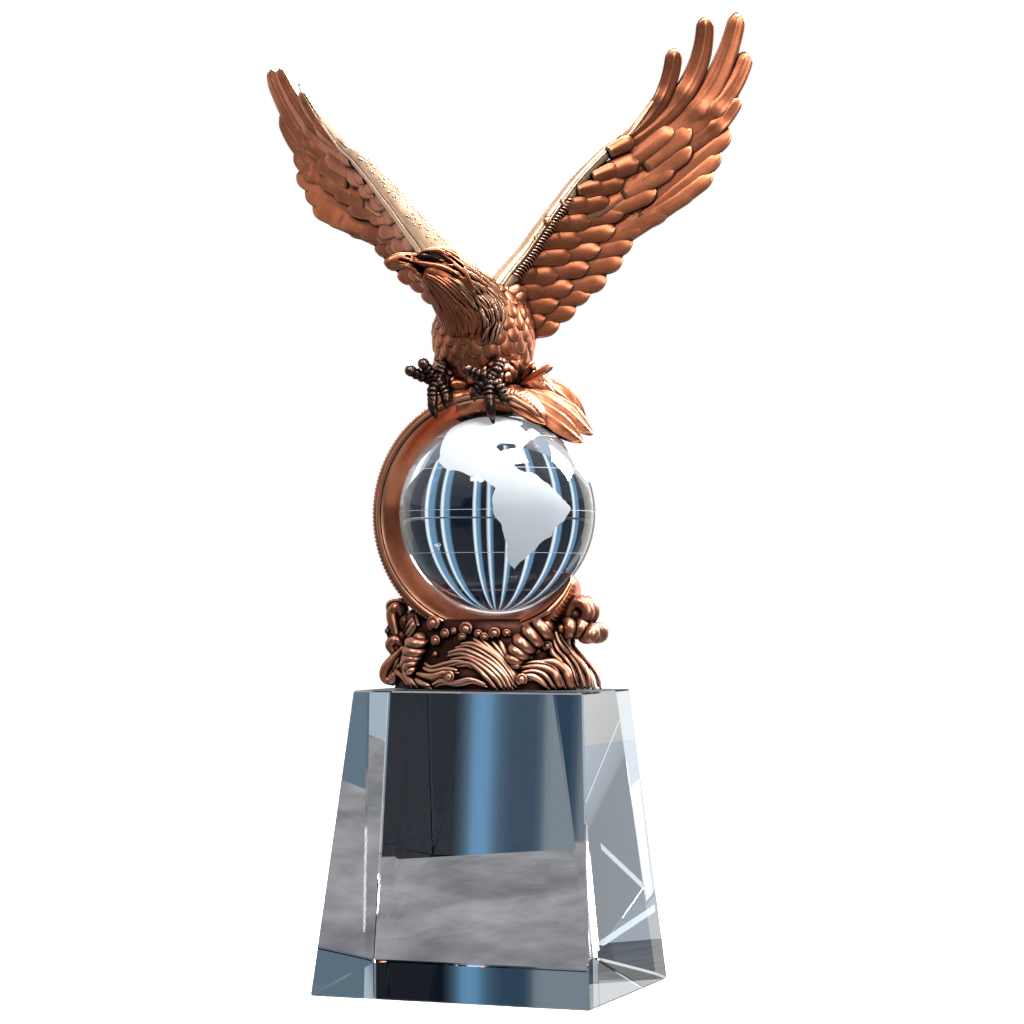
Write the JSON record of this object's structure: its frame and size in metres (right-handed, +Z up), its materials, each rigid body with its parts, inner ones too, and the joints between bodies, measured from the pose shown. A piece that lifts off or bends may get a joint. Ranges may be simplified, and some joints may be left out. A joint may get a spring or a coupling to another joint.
{
  "type": "eagle trophy",
  "caption": "Copper eagle landing with raised wings on a crescent that cradles a crystal globe, above cast waves on a tapered crystal plinth.",
  "frame": {"origin": "middle of the plinth's underside", "axes": "+Z up, -Y to the front of the plinth, towards which the eagle faces"},
  "size_m": [0.1683, 0.082, 0.2984],
  "materials": {
    "clear_crystal": "clear polished crystal",
    "globe_crystal": "clear polished crystal with a frosted map",
    "antique_copper": "antique copper plate, rubbed bright on the edges and dark in the recesses"
  },
  "bodies": {
    "root": {"plinth": "clear_crystal", "globe": "globe_crystal", "eagle_casting": "antique_copper"}
  },
  "joints": []
}
